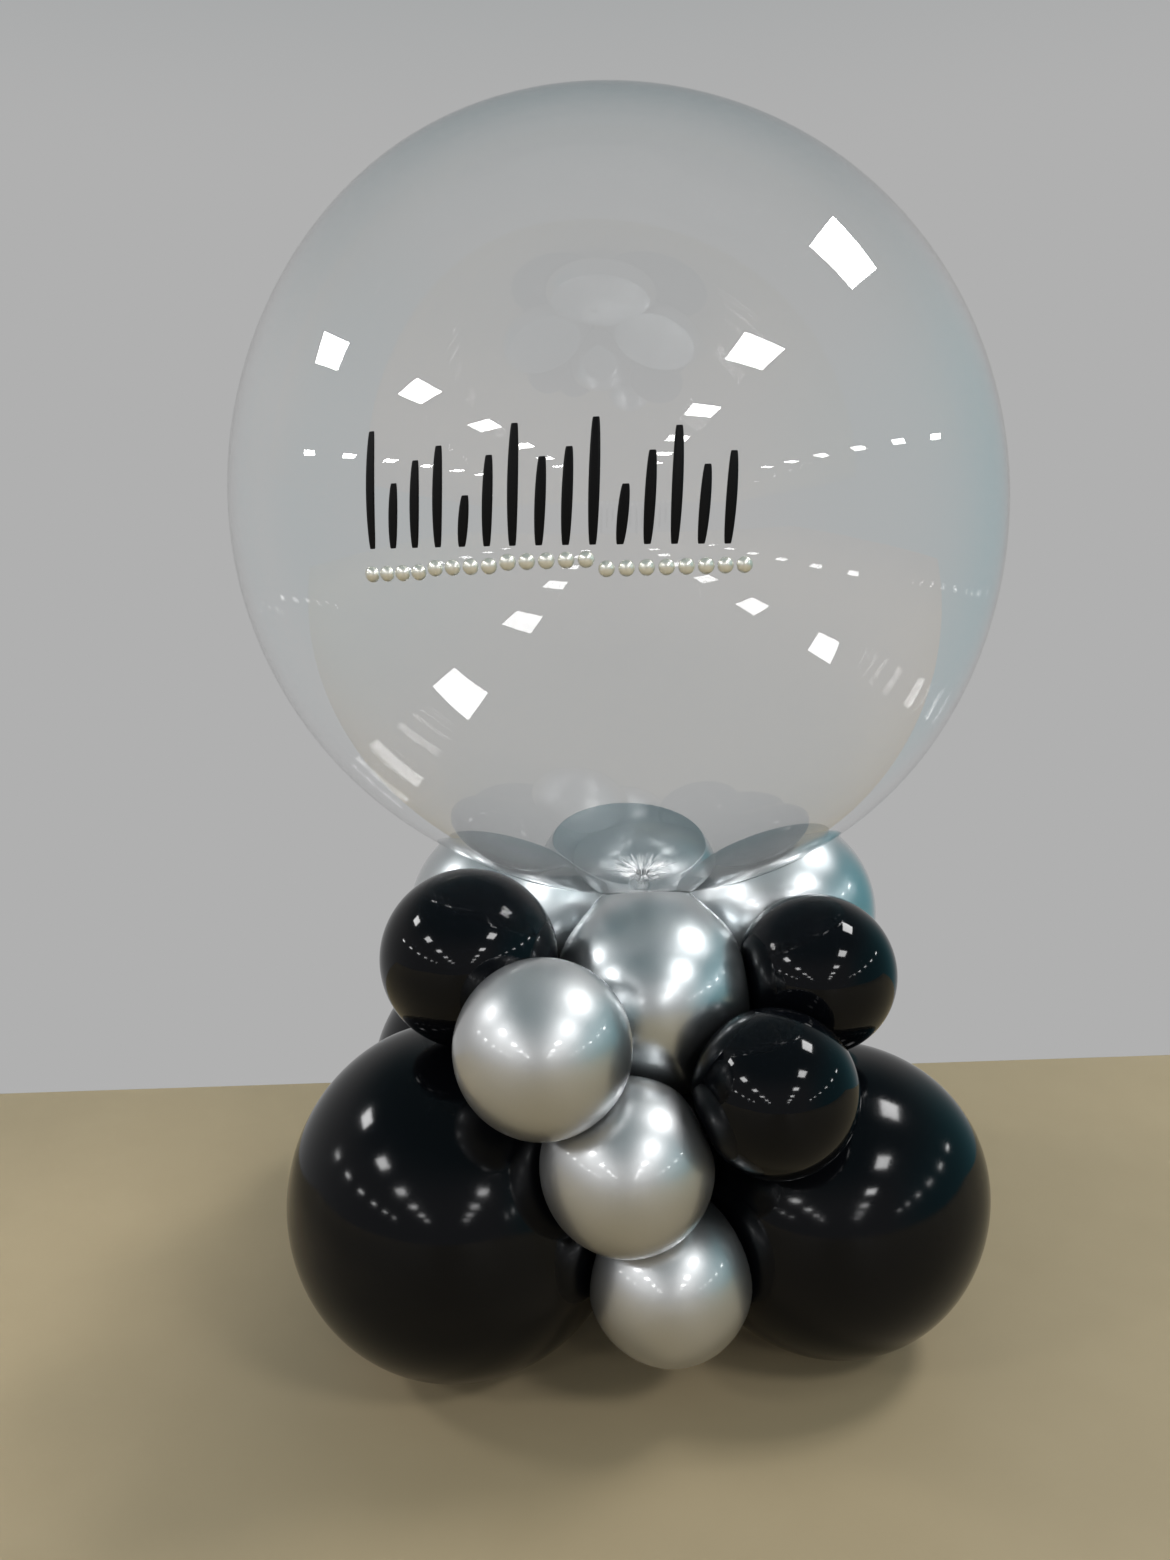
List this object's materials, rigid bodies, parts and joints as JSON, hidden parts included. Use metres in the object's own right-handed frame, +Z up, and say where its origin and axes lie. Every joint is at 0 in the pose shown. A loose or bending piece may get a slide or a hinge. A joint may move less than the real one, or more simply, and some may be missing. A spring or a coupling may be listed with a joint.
{
  "type": "clear bubble balloon centrepiece",
  "caption": "Table centrepiece: a clear bubble balloon with vinyl strokes and half-pearls on a collar, a base and a cascade of silver and black balloons.",
  "frame": {"origin": "on the table, under the middle of the whole piece", "axes": "+Z up; the front, with the strokes and the cascade, faces -Y; +X is to the right seen from the front"},
  "size_m": [0.5057, 0.5033, 0.8023],
  "materials": {
    "clear_film": "thin clear stretched plastic film, glossy, colourless",
    "black_latex": "glossy deep black latex, shined",
    "silver_latex": "metallic silver latex, satin mirror",
    "black_vinyl": "satin black adhesive vinyl",
    "cream_pearl": "pearlised cream plastic"
  },
  "bodies": {
    "root": {"clear_bubble": "clear_film", "bubble_neck_tie": "black_latex", "base_balloon_back_left": "black_latex", "base_balloon_back_right": "black_latex", "base_balloon_front_left": "black_latex", "base_balloon_front_right": "black_latex", "collar_balloon_back": "silver_latex", "collar_balloon_front": "silver_latex", "collar_balloon_left": "silver_latex", "collar_balloon_right": "silver_latex", "cascade_balloon_black_right": "black_latex", "cascade_balloon_black_upper_left": "black_latex", "cascade_balloon_black_upper_right": "black_latex", "cascade_balloon_silver_left": "silver_latex", "cascade_balloon_silver_low": "silver_latex", "cascade_balloon_silver_middle": "silver_latex", "vinyl_stroke_01": "black_vinyl", "vinyl_stroke_02": "black_vinyl", "vinyl_stroke_03": "black_vinyl", "vinyl_stroke_04": "black_vinyl", "vinyl_stroke_05": "black_vinyl", "vinyl_stroke_06": "black_vinyl", "vinyl_stroke_07": "black_vinyl", "vinyl_stroke_08": "black_vinyl", "vinyl_stroke_09": "black_vinyl", "vinyl_stroke_10": "black_vinyl", "vinyl_stroke_11": "black_vinyl", "vinyl_stroke_12": "black_vinyl", "vinyl_stroke_13": "black_vinyl", "vinyl_stroke_14": "black_vinyl", "vinyl_stroke_15": "black_vinyl", "pearl_01": "cream_pearl", "pearl_02": "cream_pearl", "pearl_03": "cream_pearl", "pearl_04": "cream_pearl", "pearl_05": "cream_pearl", "pearl_06": "cream_pearl", "pearl_07": "cream_pearl", "pearl_08": "cream_pearl", "pearl_09": "cream_pearl", "pearl_10": "cream_pearl", "pearl_11": "cream_pearl", "pearl_12": "cream_pearl", "pearl_13": "cream_pearl", "pearl_14": "cream_pearl", "pearl_15": "cream_pearl", "pearl_16": "cream_pearl", "pearl_17": "cream_pearl", "pearl_18": "cream_pearl", "pearl_19": "cream_pearl", "pearl_20": "cream_pearl", "pearl_21": "cream_pearl"}
  },
  "joints": []
}
